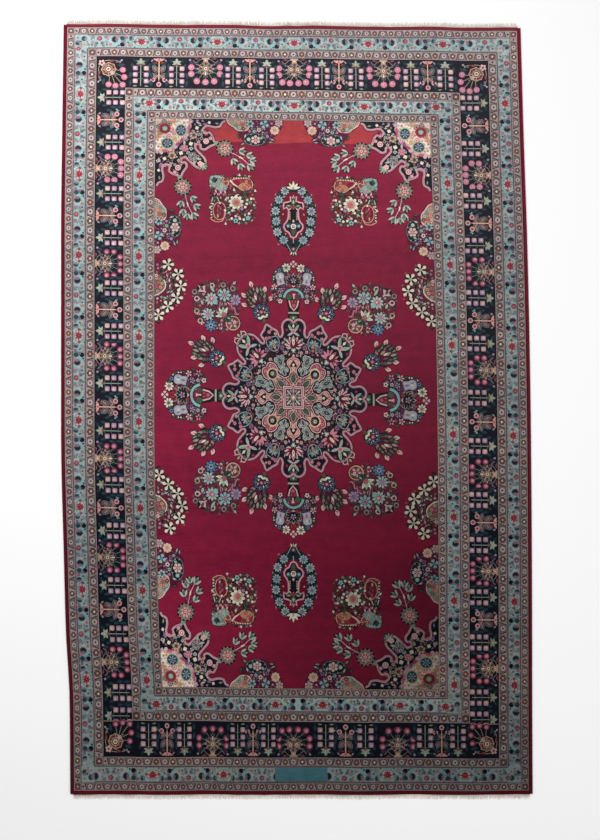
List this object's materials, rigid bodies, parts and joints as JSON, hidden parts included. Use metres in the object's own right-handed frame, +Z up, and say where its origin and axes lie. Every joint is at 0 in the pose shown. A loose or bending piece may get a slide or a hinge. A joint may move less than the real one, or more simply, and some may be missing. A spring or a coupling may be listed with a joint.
{
  "type": "persian rug",
  "caption": "Hand-knotted Persian medallion rug lying flat, with overcast sides and a short cotton fringe at each end.",
  "frame": {"origin": "on the floor under the middle of the whole rug, fringes included", "axes": "+X to the right as seen from the foot end, +Y towards the head end along the rug's length, +Z up out of the pile"},
  "size_m": [2.11, 3.4992, 0.0116],
  "materials": {
    "wool_pile": "knotted wool pile, matt with a soft sheen",
    "selvedge_wool": "wool overcasting on two cords, matt",
    "fringe_cotton": "undyed cotton warps, matt"
  },
  "bodies": {
    "root": {"rug_body": "wool_pile", "selvedge_left": "selvedge_wool", "selvedge_right": "selvedge_wool", "fringe_head": "fringe_cotton", "fringe_foot": "fringe_cotton"}
  },
  "joints": []
}
